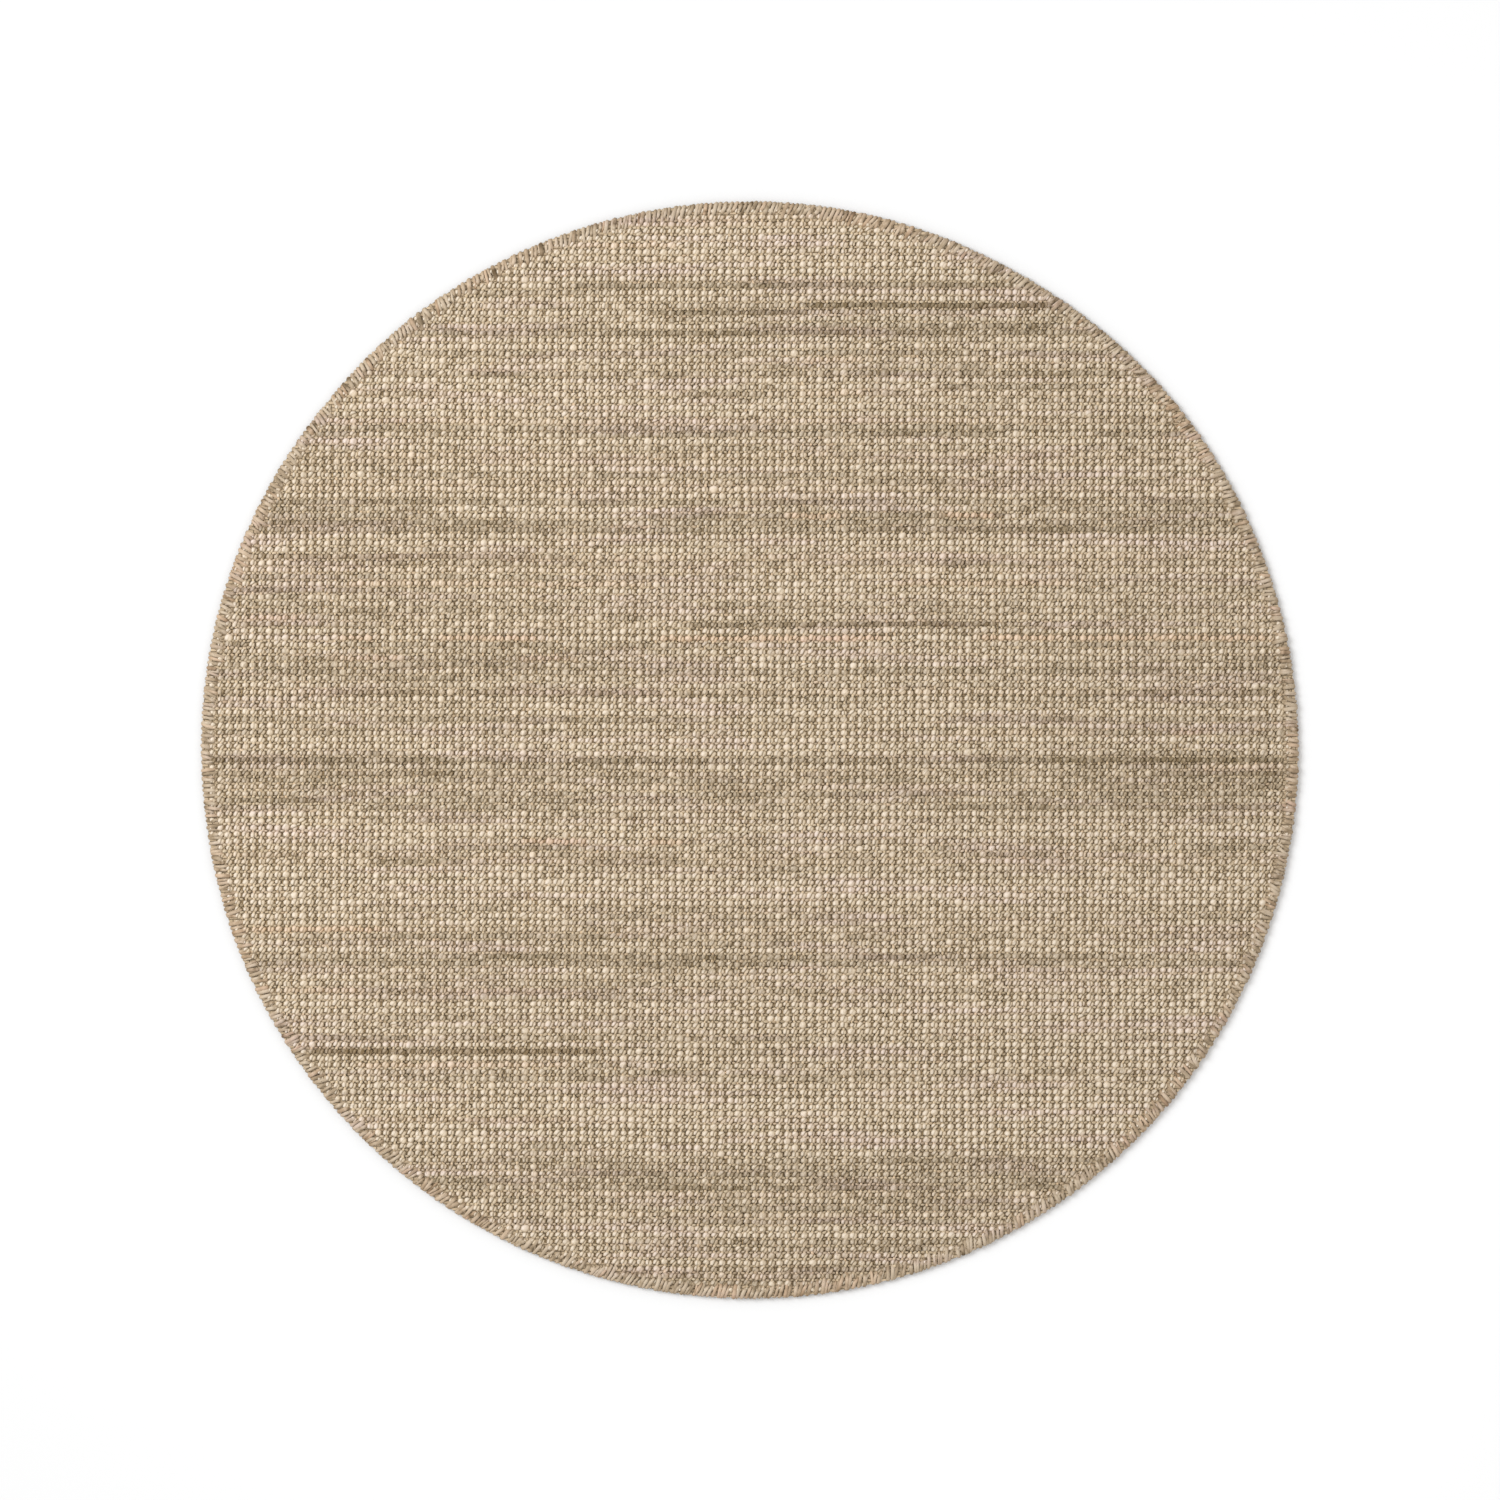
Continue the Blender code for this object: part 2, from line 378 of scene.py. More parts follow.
@dataclass
class StrandMesh:
    """Collects strands, each a row of rings with a point at either end, and joins them in one closed mesh.

    All its strands have the same number of rings, with the same number of sides.

    Attributes:
        name: The object's name.
        columns: How many strands lie side by side in one row of the bake map.
    """

    name: str
    columns: int = 1
    _shape: list[int] = field(default_factory=list)
    _added: list[tuple[Array, ...]] = field(default_factory=list)

    def add(
        self, rings: Array, ends: Array, tones: tuple[object, object, object], heading: Array, draws: Draws,
        end_shade: tuple[float, float] = (1.0, 1.0), creased: Array | float = 0.0,
    ) -> None:
        """Adds strands.

        Args:
            rings: Points as strands by rings by sides by 3, counter-clockwise about the way the strand runs.
            ends: The two end points of each strand, as strands by 2 by 3.
            tones: Lightness, warmth and painted shade of the rings' points, each as a number or an array that
            fits strands by rings by sides.
            heading: Which way each strand's fibres run, seen from above, in radians from +X.
            draws: What decides where in the fibres' pattern each strand begins.
            end_shade: How much of their light the two end points keep, as painted shade.
            creased: How deep in a crease each point lies, from 0 to 1, as strands by points, for its painted
                shade.
        """
        strands, *self._shape, _ = rings.shape
        points = np.concatenate([rings.reshape(strands, -1, 3), ends], axis=1)
        ring_tones = np.stack([np.broadcast_to(tone, rings.shape[:3]) for tone in tones], axis=-1)
        end_tones = np.stack([ring_tones[:, 0].mean(axis=1), ring_tones[:, -1].mean(axis=1)], axis=1)
        end_tones[..., 2] *= end_shade
        tones = np.concatenate([ring_tones.reshape(strands, -1, 3), end_tones], axis=1)
        x, y, z = np.moveaxis(points, -1, 0)
        cosine, sine = np.cos(heading)[:, None], np.sin(heading)[:, None]
        along = x * cosine + y * sine - z + draws.uniform(0, 5, (strands, 1))
        fibres = np.stack([along, y * cosine - x * sine], axis=-1)
        self._added.append((points, tones, fibres, np.broadcast_to(creased, points.shape[:2])))

    def make(self, finish: Material) -> Object:
        """Joins the strands in one smooth object.

        Args:
            finish: The material that it wears.

        Returns:
            The object, at the frame's origin.
        """
        points, tones, fibres, creased = (np.concatenate(values) for values in zip(*self._added))
        strands, each, _ = points.shape
        quads, fans, *cells = strand_faces(*self._shape)
        first = np.arange(strands)[:, None, None] * each
        corners = np.concatenate([(first + quads).ravel(), (first + fans).ravel()])
        sizes = np.repeat([4, 3], [strands * len(quads), strands * len(fans)])
        mesh = bpy.data.meshes.new(self.name)
        mesh.vertices.add(strands * each)
        write(mesh.vertices, "co", points)
        mesh.loops.add(len(corners))
        write(mesh.loops, "vertex_index", corners, np.int32)
        mesh.polygons.add(len(sizes))
        write(mesh.polygons, "loop_start", np.cumsum(sizes) - sizes, np.int32)
        mesh.update(calc_edges=True)
        mesh.shade_smooth()
        mark_creases(mesh, creased.ravel())
        tones = np.concatenate([tones, np.ones((strands, each, 1))], axis=-1)
        write(mesh.color_attributes.new(TONE_AND_SHADE_ATTRIBUTE, "FLOAT_COLOR", "POINT").data, "color", tones)
        write(mesh.uv_layers.new(name=STRAND_MAP, do_init=False).uv, "vector", fibres.reshape(-1, 2)[corners])
        row, column = np.divmod(np.arange(strands), self.columns)
        corner = np.stack([column, row], axis=-1)[:, None, None] + BAKE_MARGIN
        places = [(corner + (1 - 2 * BAKE_MARGIN) * cell).reshape(-1, 2) for cell in cells]
        baked = np.concatenate(places) / (self.columns, row[-1] + 1)
        write(mesh.uv_layers.new(name=BAKE_MAP, do_init=False).uv, "vector", baked)
        mesh.materials.append(finish)
        made = bpy.data.objects.new(self.name, mesh)
        bpy.context.scene.collection.objects.link(made)
        LOG.info("%s: %d strands, %d triangles", self.name, strands, strands * (2 * len(quads) + len(fans)))
        return made


def mark_creases(mesh: Mesh, creased: Array) -> None:
    """Makes the edges along creases sharp.

    Args:
        mesh: The mesh.
        creased: How deep in a crease each of its points lies, which is written to it too, for the painted
            shade there.
    """
    write(mesh.attributes.new(CREASE_SHADE_ATTRIBUTE, "FLOAT", "POINT").data, "value", creased)
    if not creased.any():
        return
    ends = np.empty(len(mesh.edges) * 2, np.int32)
    mesh.edges.foreach_get("vertices", ends)
    sharp = (creased[ends.reshape(-1, 2)] > 0).all(axis=1)
    write(mesh.attributes.new("sharp_edge", "BOOLEAN", "EDGE").data, "value", sharp, bool)


def write(data: bpy.types.bpy_prop_collection, name: str, values: Array, kind: type = np.float32) -> None:
    """Writes one value or vector for each item of a mesh's data."""
    data.foreach_set(name, values.astype(kind).ravel())


def strand_faces(count: int, sides: int) -> tuple[Array, Array, Array, Array]:
    """Works out the faces of one strand.

    Args:
        count: How many rings it has.
        sides: How many sides each ring has.

    Returns:
        Its quads and its triangles as point numbers, where its two end points come last, and where their
        corners lie in its cell of the bake map.
    """
    here = np.arange(sides)
    after = (here + 1) % sides
    ring = np.arange(count - 1)[:, None] * sides
    quads = np.stack([ring + here, ring + after, ring + sides + after, ring + sides + here], axis=-1)
    last, tip = (count - 1) * sides, np.full(sides, count * sides)
    fans = np.concatenate([np.stack([tip, after, here], axis=-1),
                           np.stack([tip + 1, last + here, last + after], axis=-1)])

    def cell(*corners: tuple[object, object]) -> Array:
        """Joins each corner's share along the strand and round it."""
        pairs = [np.stack(np.broadcast_arrays(along, turn), axis=-1) for along, turn in corners]
        return np.stack(pairs, axis=-2)

    share = np.arange(1, count + 1) / (count + 1)
    near, far = share[:-1, None], share[1:, None]
    low, high, middle = here / sides, (here + 1) / sides, (here + 0.5) / sides
    quad_cells = cell((near, low), (near, high), (far, high), (far, low))
    fan_cells = np.concatenate([cell((0.0, middle), (share[0], high), (share[0], low)),
                                cell((1.0, middle), (share[-1], low), (share[-1], high))])
    return quads.reshape(-1, 4), fans, quad_cells.reshape(-1, 4, 2), fan_cells


def sweep(centres: Array, runs: Array, across: Array, section: Array) -> Array:
    """Sets a cross-section round each point of a strand's middle line.

    Args:
        centres: The middle line's points, as any shape by 3.
        runs: The direction the strand runs in at each, of length 1.
        across: The section's sideways direction at each, of length 1.
        section: The section's (across, up) points at each, in metres, as that shape by sides by 2.

    Returns:
        The rings' points, as that shape by sides by 3.
    """
    up = np.cross(runs, across)
    return (centres[..., None, :] + section[..., :1] * across[..., None, :]
            + section[..., 1:] * up[..., None, :])


def thread(centres: Array, radius: float | Array) -> tuple[Array, Array]:
    """Sets three-sided rings round the middle lines of threads that lie flat.

    Args:
        centres: The middle lines' points, as threads by points by 3.
        radius: The threads' radius, or one for each.

    Returns:
        The rings' points, and the direction that the thread runs in at each.
    """
    runs = unit(np.gradient(centres, axis=1))
    across = unit(np.cross(np.broadcast_to([0.0, 0.0, 1.0], runs.shape), runs))
    section = Section.ROUND_THREE.points() * np.reshape(radius, (-1, 1, 1, 1))
    return sweep(centres, runs, across, section), runs


def end_points(centres: Array, runs: Array, reach: float) -> Array:
    """Sets each strand's two end points this far past its first and last ring."""
    return np.stack([centres[:, 0] - runs[:, 0] * reach, centres[:, -1] + runs[:, -1] * reach], axis=1)


def unit(vectors: Array) -> Array:
    """Gives vectors a length of 1."""
    return vectors / np.linalg.norm(vectors, axis=-1, keepdims=True)


def eased(share: Array) -> Array:
    """Eases a share from 0 to 1 in and out, and holds it outside."""
    held = np.clip(share, 0, 1)
    return held * held * (3 - 2 * held)


# In radians a metre: the waves in which columns and rows stray, and those in which a yarn's tone drifts
STRAY_WAVES = (9.0, 17.0, 31.0)
DRIFT_WAVES = (6.0, 13.0, 29.0, 61.0)


@dataclass
class Weave:
    """Where the rug's yarns and loops lie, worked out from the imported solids, and the yarns' own tones.

    Attributes:
        loops_across: How many columns of loops the rug is wide.
        rows_down: How many pile yarns the rug is long.
        wander: How far a column strays sideways, and a row up or down.
        tone_spread: How far the tones of rows spread, and those of bands of rows, in steps.
        drift: How far the tone drifts over the rug and along a yarn, in steps.
        radius: The rug's radius.
        whip_top: How high the whipping stands.
        whip_reach: How far in over the cloth the whipping reaches.
        outline: The rug's edge, as angles in degrees and how far it reaches at each.
    """

    loops_across: int = 134
    rows_down: int = 162
    wander: tuple[float, float] = (0.0009, 0.00054)
    tone_spread: float = 1.8
    drift: float = 0.65
    radius: float = field(init=False)
    whip_top: float = field(init=False)
    whip_reach: float = field(init=False)
    outline: tuple[Array, Array] = field(init=False)

    def __post_init__(self) -> None:
        """Reads the rug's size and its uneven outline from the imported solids, and draws the yarns' tones."""
        low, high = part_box("edge_whipping")
        self.radius = (high.y - low.y) / 2
        self.whip_top = high.z
        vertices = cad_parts["edge_whipping"].data.vertices
        points = np.empty(len(vertices) * 3, np.float32)
        vertices.foreach_get("co", points)
        x, y, _ = points.reshape(-1, 3).T
        reach = np.hypot(x, y)
        self.whip_reach = float(self.radius - reach.min())
        quarter_degrees = np.rint(np.degrees(np.arctan2(y, x)) * 4).astype(int) % (4 * 360)
        steps = np.unique(quarter_degrees)
        self.outline = steps / 4, np.array([reach[quarter_degrees == step].max() for step in steps])

        draws, rows = Seed.WEAVE.draws(), self.rows_down
        self._phases = draws.uniform(0, math.tau, (2, len(STRAY_WAVES)))
        row_limit, band_rows = 3.4, 6
        row_tone = np.clip(draws.normal(0, self.tone_spread, rows), -row_limit, row_limit)
        bands = Seed.BANDS.draws().normal(0, self.tone_spread, rows // band_rows + 1)
        self._tone = row_tone + np.interp(np.arange(rows) / band_rows, np.arange(len(bands)), bands)
        self._warmth = draws.uniform(0, 1, rows) ** 6 * 0.25
        self._drift_phases = draws.uniform(0, math.tau, (rows, len(DRIFT_WAVES)))

    @property
    def inner(self) -> float:
        """How far from the middle the whipping begins."""
        return self.radius - self.whip_reach

    @property
    def row_pitch(self) -> float:
        """How far apart the pile yarns are."""
        return 2 * self.radius / self.rows_down

    def lines(self, count: int) -> Array:
        """Where along X this many lines lie in the even grid, as far apart as the columns of loops."""
        return (np.arange(count) - (count - 1) / 2) * (2 * self.radius / self.loops_across)

    def edge_at(self, angle: Array) -> Array:
        """How far the rug reaches from its middle at these angles, in radians."""
        return np.interp(np.degrees(angle) % 360, *self.outline, period=360)

    def strayed(self, x: Array, y: Array) -> tuple[Array, Array]:
        """Moves places of the even grid to where the hand-woven cloth has them.

        Args:
            x: The even places along X.
            y: The even places along Y.

        Returns:
            The uneven x and y.
        """
        sideways, upwards = np.zeros(np.shape(x)), np.zeros(np.shape(x))
        for order, (wave, first, second) in enumerate(zip(STRAY_WAVES, *self._phases), start=1):
            sideways += np.sin(y * wave + x * wave * 0.35 + first) / order
            upwards += np.sin(x * wave * 0.8 + y * wave * 0.2 + second) / order
        return x + self.wander[0] * sideways, y + self.wander[1] * upwards

    def tone(self, row: int, x: Array) -> tuple[Array, Array]:
        """The yarn's own tone and warmth along one row.

        Args:
            row: The row, counted up from the rug's middle.
            x: Places along it.

        Returns:
            The tone in steps, and the warmth from 0 to 1.
        """
        place = row + self.rows_down // 2
        y = row * self.row_pitch
        slow = np.sin(7 * x + 6 * y + self._phases[0, 2]) + np.sin(4 * x - 13 * y + self._phases[1, 2])
        usual, strength, hidden = 0.2, 1.9, 0.6
        tone = self._tone[place] + self.drift * slow + usual
        for wave, phase in zip(DRIFT_WAVES, self._drift_phases[place]):
            tone = tone + self.drift * np.sin(x * wave + phase)
        warmth = np.full(x.shape, self._warmth[place])
        for streak in STREAKS.get(row, ()):
            share = streak.share_at(x)
            tone = tone * (1 - hidden * share) + strength * streak.tone * share
            warmth = np.maximum(warmth, streak.warmth * share)
        return tone, warmth


# The usual knob's waist and shoulder, for a crease that leans to the right, each counter-clockwise from the
# crease's upper end: how far a point lies along the yarn, across it and up, in millimetres, how much of its
# light it keeps as painted shade, and its ply, as 1, -1, or 0 on the crease between the plies. The painted
# shade is darker on the low waist, where the knobs shade each other, and on the right ply, which faces
# away from the key light
KNOB_RINGS = np.array([
    [
        (1.60, 3.85, 6.2, 0.45, 0),
        (-2.20, 3.80, 6.2, 0.55, 1),
        (-4.25, 1.90, 5.6, 0.45, 1),
        (-4.25, -1.90, 5.6, 0.45, 1),
        (-1.60, -3.85, 6.2, 0.45, 0),
        (2.20, -3.80, 6.1, 0.40, -1),
        (4.25, -1.90, 5.5, 0.20, -1),
        (4.25, 1.90, 5.5, 0.20, -1),
    ], [
        (0.80, 2.30, 8.5, 0.80, 0),
        (-1.25, 2.35, 8.7, 0.90, 1),
        (-2.15, 0.95, 9.1, 1.00, 1),
        (-2.15, -0.95, 9.1, 1.00, 1),
        (-0.80, -2.30, 8.5, 0.80, 0),
        (1.25, -2.35, 8.3, 0.60, -1),
        (2.30, -0.95, 8.5, 0.58, -1),
        (2.30, 0.95, 8.5, 0.58, -1),
    ],
])
# The crease's ends on a ring, and all of its points on the two rings and the top
CREASE_ENDS = [0, 4]
CREASE_POINTS = [0, 4, 8, 12, 17]


@dataclass
class PileYarns:
    """The fat two-ply yarns, which rise in a loop in every column and go down under a warp in every furrow.

    Only the loops show. Each is a knob of two rings and a top, with a slanted crease between its two plies.

    Attributes:
        weave: Where the yarns lie.
        pieces: How many pieces the loops are joined in.
        twist: Which way the two plies turn.
        top: How high a knob without a crease would stand.
        crease: How deep the usual crease is, and how much that varies.
        crease_aside: How far the usual crease lies right of the knob's middle, and how much that varies.
        slope: How steeply a knob is tilted.
        lean: How far a knob leans to the side that its creases lean to.
        stray: How far a knob lies from its place, along the yarn and across it.
        tuck: How far the loops reach under the whipping.
        tone_step: How much lighter one step of tone is, on the scale from 0 to 1.
        tone_spread: How many steps the tones of a yarn's knobs, plies and points spread.
    """

    weave: Weave
    pieces: int = 6
    twist: Twist = Twist.S
    top: float = 0.0097
    crease: tuple[float, float] = (0.0013, 0.0004)
    crease_aside: tuple[float, float] = (0.0004, 0.0005)
    slope: float = 0.12
    lean: float = 0.14
    stray: tuple[float, float] = (0.00032, 0.00038)
    tuck: float = 0.0085
    tone_step: float = 0.062
    tone_spread: tuple[float, float, float] = (0.6, 0.6, 1.0)

    def build(self) -> list[Object]:
        """Builds the loops, from the bottom of the rug to its top.

        Returns:
            The pieces.
        """
        draws = Seed.PILE.draws()
        half = self.weave.rows_down // 2
        finish = LOOP_FINISH.material()
        made = []
        for share in np.array_split(np.arange(-half, half), self.pieces):
            piece = StrandMesh(f"pile_yarns_{len(made) + 1}", columns=54)
            for row in share:
                self._add_yarn(piece, int(row), draws)
            made.append(piece.make(finish))
        return made

    def _add_yarn(self, piece: StrandMesh, row: int, draws: Draws) -> None:
        """Adds the loops of one row's yarn.

        Args:
            piece: What they are joined in.
            row: The row, counted up from the rug's middle.
            draws: Where its unevenness is drawn from.
        """
        weave = self.weave
        y_even = (row + 0.5) * weave.row_pitch
        half = math.sqrt(max((weave.inner + self.tuck) ** 2 - y_even**2, 0))
        columns = weave.lines(weave.loops_across)
        columns = columns[np.abs(columns) < half]
        loops = len(columns)
        if not loops:
            return
        x, y = weave.strayed(columns, np.full(loops, y_even))
        x, y = x + draws.normal(0, self.stray[0], loops), y + draws.normal(0, self.stray[1], loops)
        # The knobs beside the whipping are smaller and lower
        rim_inset, rim_width, rim_shrink, rim_drop = 0.005, 0.008, 0.15, 0.0007
        rim = eased((np.hypot(x, y) - weave.inner + rim_inset) / rim_width)
        size = np.clip(draws.normal(1.0, 0.08, loops), 0.75, 1.3) * (1 - rim_shrink * rim)
        # A crease shallower than the first depth is left out, and from the second on it gets the full painted
        # crease shade
        shallowest, fully_shaded, deepest = 0.0004, 0.0012, 0.0020
        crease = np.clip(draws.normal(*self.crease, loops), 0, deepest)
        crease[crease < shallowest] = 0

        shift = np.clip(draws.normal(*self.crease_aside, loops), -0.0010, 0.0018)
        rings, turn = self._rings(size, crease, shift, draws)
        aside = draws.normal(0, 0.0002, (loops, 2))
        aside[:, 0] += self.twist.value * shift
        # The top sinks with its crease, and the foot's hidden point closes the knob below
        dip, foot = 1.25, 0.0030
        tops = np.column_stack([aside, self.top - dip * crease])
        feet = np.full((loops, 3), (0.0, 0.0, foot))
        lift = draws.normal(0, 0.00028, loops) - rim_drop * rim
        slope = draws.normal(0, self.slope, (loops, 1, 1, 2))
        rings[..., 2] += (slope * rings[..., :2]).sum(axis=-1)
        place = np.stack([x, y, lift], axis=1)[:, None]

        tone, warmth = weave.tone(row, x)
        knobs, plies, points = self.tone_spread
        ply = KNOB_RINGS[0, :, 4]
        tone = (tone + draws.normal(0, knobs, loops))[:, None, None]
        tone = tone + draws.normal(0, plies, (loops, 1, 1)) * ply
        tone = tone + draws.normal(0, points, (loops, 2, 8))
        lightness = np.clip(0.5 + self.tone_step * tone, 0, 1)
        # Painted shade: as charted for the two rings, and darker at the shoulder's crease ends the deeper the
        # crease; the crease's points also get the material's painted crease shade
        shade = KNOB_RINGS[..., 3] * np.ones((loops, 1, 1))
        shade_lost = 220 * crease
        shade[:, 1, CREASE_ENDS] -= shade_lost[:, None]
        creased = np.zeros((loops, 18))
        creased[:, CREASE_POINTS] = np.clip(crease / fully_shaded, 0, 1)[:, None]
        ends = np.stack([feet, tops], axis=1) + place
        fibre_slant = math.radians(66)
        # The hidden foot keeps half its light and the top most of it, as painted shade
        piece.add(
            rings + place[:, None], ends, (lightness, warmth[:, None, None], shade),
            self.twist.value * (fibre_slant + turn), draws, end_shade=(0.5, 0.92), creased=creased,
        )

    def _rings(self, size: Array, crease: Array, shift: Array, draws: Draws) -> tuple[Array, Array]:
        """Shapes the two rings of each knob about its own middle.

        Args:
            size: How large each knob is.
            crease: How deep its crease is.
            shift: How far the crease lies from the knob's middle.
            draws: Where the unevenness is drawn from.

        Returns:
            The points, as loops by 2 by 8 by 3, and how far each knob is turned, in radians.
        """
        loops = len(size)
        charted = KNOB_RINGS[..., :3] / 1000
        reach = size[:, None, None] * draws.normal(1.0, 0.065, (loops, 2, 8))
        # A crease pinches both rings, and dips the shoulder
        pinch, dip = 50, 1.1
        reach[..., CREASE_ENDS] *= (1 - pinch * crease)[:, None, None]
        turn = draws.normal(0, 0.20, loops)
        # The waist turns and shifts less than the shoulder
        turned = turn[:, None, None] * np.array([[0.4], [1.0]])
        cosine, sine = np.cos(turned), np.sin(turned)
        x, y = charted[..., 0] * reach, charted[..., 1] * reach
        x[..., CREASE_ENDS] += shift[:, None, None] * np.array([[0.5], [1.0]])
        x = x + self.lean * y
        height = charted[..., 2] + draws.normal(0, 0.00012, (loops, 2, 8))
        height[:, 1, CREASE_ENDS] -= dip * crease[:, None]
        along = x * cosine - y * sine
        return np.stack([self.twist.value * along, x * sine + y * cosine, height], axis=-1), turn


@dataclass(frozen=True)
class Spindle:
    """The short stretches of thin yarn that show between the loops: thick in the middle, their ends hidden.

    Attributes:
        name: The piece's name.
        length: How long the usual one is.
        full: How long its thick middle is; 0 for one that tapers from its middle.
        radius: How thick it is, across.
        rise: How thick it is, upwards.
        drop: How much lower its ends lie.
        height: How high its middle lies.
        shade: How much of its light its middle keeps, as painted shade for a yarn low between the loops.
        heading: The direction that it runs in, in radians from +X, and how much that varies.
        stray: How far its middle lies from its place, along X, along Y and upwards.
        inset: How far from the whipping the last ones lie.
        by_row: Whether one yarn's stretches lie in a row, and not in a column.
        yarn_spread: How much one yarn is lighter or darker than another.
    """

    name: str
    length: float
    full: float
    radius: float
    rise: float
    drop: float
    height: float
    shade: float
    heading: tuple[float, float]
    stray: tuple[float, float, float]
    inset: float
    by_row: bool
    yarn_spread: float

    def build(self, weave: Weave, columns: Array, draws: Draws, finish: Material) -> Object:
        """Builds one between every two rows, in each column.

        Args:
            weave: Where the rows lie.
            columns: Where along X the columns stand.
            draws: Where their unevenness is drawn from.
            finish: Their material.

        Returns:
            The piece.
        """
        rows = np.arange(-weave.rows_down // 2 + 1, weave.rows_down // 2) * weave.row_pitch
        x, y = np.meshgrid(columns, rows)
        inside = np.hypot(x, y) < weave.inner - self.inset
        yarn_tone = draws.normal(0, self.yarn_spread, len(rows if self.by_row else columns))
        yarn_tone = np.broadcast_to(yarn_tone[:, None] if self.by_row else yarn_tone, x.shape)[inside]
        x, y = weave.strayed(x[inside], y[inside])
        count = len(x)
        centres = np.stack([place + draws.normal(0, stray, count)
                            for place, stray in zip((x, y, self.height), self.stray)], axis=1)
        heading = self.heading[0] + draws.normal(0, self.heading[1], count)

        size = np.clip(draws.normal(1.0, 0.12, count), 0.7, 1.4)
        run = np.stack([np.cos(heading), np.sin(heading), np.zeros(count)], axis=1)
        across = np.stack([-np.sin(heading), np.cos(heading), np.zeros(count)], axis=1)
        section = Section.FLAT_THREE.points() * np.array([self.radius, self.rise]) * size[:, None, None]
        rings = sweep(centres, run, across, section)[:, None]
        if self.full:
            half = (run * (self.full / 2 * size)[:, None])[:, None, None]
            rings = np.concatenate([rings - half, rings + half], axis=1)
        reach = run * (self.length / 2 * size)[:, None]
        down = np.array([0, 0, self.drop])
        ends = np.stack([centres - reach - down, centres + reach - down], axis=1)
        lightness = np.clip(0.50 + yarn_tone + draws.normal(0, 0.08, count), 0, 1)[:, None, None]
        warmth = (0.6 * draws.uniform(0, 1, count) ** 8)[:, None, None]
        piece = StrandMesh(self.name, columns=90)
        # The ends, which dip under the loops, are painted darker as shade
        piece.add(rings, ends, (lightness, warmth, self.shade), heading, draws, end_shade=(0.6, 0.6))
        return piece.make(finish)


# Both are painted darker as shade low between the loops, the warps between a column's loops most
GROUND_WEFT = Spindle(
    "ground_wefts", length=0.0096, full=0.0024, radius=0.0015, rise=0.0018, drop=0.0015, height=0.0061,
    shade=0.62, heading=(0.10, 0.16), stray=(0.00018, 0.00030, 0.00025), inset=0.001, by_row=True,
    yarn_spread=0.10,
)
LOOP_WARP = Spindle(
    "loop_warps", length=0.0086, full=0.0, radius=0.0018, rise=0.0018, drop=0.0010, height=0.0067,
    shade=0.38, heading=(math.pi / 2, 0.2), stray=(0.0002, 0.0003, 0.00025), inset=0.0, by_row=False,
    yarn_spread=0.06,
)


@dataclass
class GroundYarns:
    """The thin yarns: a weft between every two rows, and a warp down each furrow and each column of loops.

    Attributes:
        weave: Where the furrows and columns lie.
        radius: How thick a furrow's warp is.
        height: How high its middle lies.
        steps: How many stretches it is drawn in.
    """

    weave: Weave
    radius: float = 0.0008
    height: float = 0.0048
    steps: int = 24

    def build(self) -> list[Object]:
        """Builds the wefts that cross the furrows, the furrows' warps, and the columns' between loops.

        Returns:
            The pieces.
        """
        weave = self.weave
        columns, furrows = weave.lines(weave.loops_across), weave.lines(weave.loops_across + 1)
        wefts = GROUND_WEFT.build(weave, furrows, Seed.WEFTS.draws(), GROUND_FINISH.material())
        draws = Seed.WARPS.draws()
        threads = self._furrow_warps(furrows, draws, GROUND_FINISH.material())
        return [wefts, threads, LOOP_WARP.build(weave, columns, draws, LOOP_FINISH.material())]

    def _furrow_warps(self, furrows: Array, draws: Draws, finish: Material) -> Object:
        """Builds the threads down these furrows, as one piece."""
        under_whipping, shortest = 0.003, 0.004
        reach = self.weave.inner + under_whipping
        furrows = furrows[np.abs(furrows) < reach - shortest]
        half = np.sqrt(reach**2 - furrows**2)[:, None]
        share = np.linspace(-1, 1, self.steps + 1)
        x, y = self.weave.strayed(np.repeat(furrows[:, None], len(share), axis=1), half * share)
        x, height = x + draws.normal(0, 0.0003, x.shape), self.height + draws.normal(0, 0.0002, x.shape)
        centres = np.stack([x, y, height], axis=-1)
        rings, runs = thread(centres, self.radius)
        lightness = np.clip(draws.normal(0.45, 0.05, len(furrows)), 0, 1)[:, None, None]
        # The furrow's warps take nearly the full painted shade, as they lie at the bottom of the furrow
        shade, heading = 0.12, np.full(len(furrows), math.pi / 2)
        piece = StrandMesh("furrow_warps")
        piece.add(rings, end_points(centres, runs, 0.001), (lightness, 0.0, shade), heading, draws)
        return piece.make(finish)


